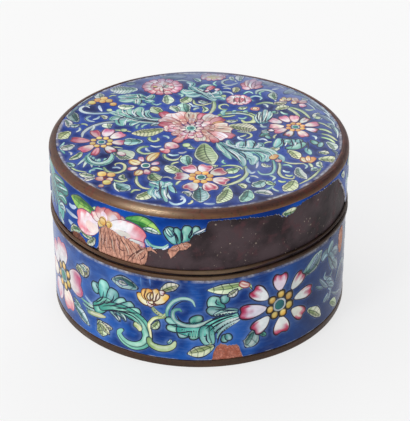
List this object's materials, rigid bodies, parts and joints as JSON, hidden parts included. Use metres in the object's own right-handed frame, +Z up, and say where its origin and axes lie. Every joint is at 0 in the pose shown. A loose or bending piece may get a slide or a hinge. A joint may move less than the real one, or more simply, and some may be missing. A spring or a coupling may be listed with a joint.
{
  "type": "covered box",
  "caption": "Round straight-sided box of enamelled copper with a lift-off lid of the same width, painted with flowers and scrolls on blue.",
  "frame": {"origin": "centre of the underside of the foot ring, on the surface the box stands on", "axes": "+Z up along the axis of the box; the box is round, and its damaged side faces -Y"},
  "size_m": [0.101, 0.101, 0.0591],
  "materials": {
    "copper": "bare old copper, dark brown, dull and slightly pitted",
    "rim_metal": "worn brown copper with traces of gilding",
    "enamel": "glossy painted enamel, cobalt blue with flowers in pink, yellow, turquoise and green",
    "enamel_inside": "plain pale turquoise enamel"
  },
  "bodies": {
    "root": {"base_body": "copper", "foot_ring": "rim_metal", "base_mouth_rim": "rim_metal", "locating_collar": "copper", "lid_body": "copper", "lid_top_rim": "rim_metal", "lid_mouth_rim": "rim_metal"}
  },
  "joints": []
}
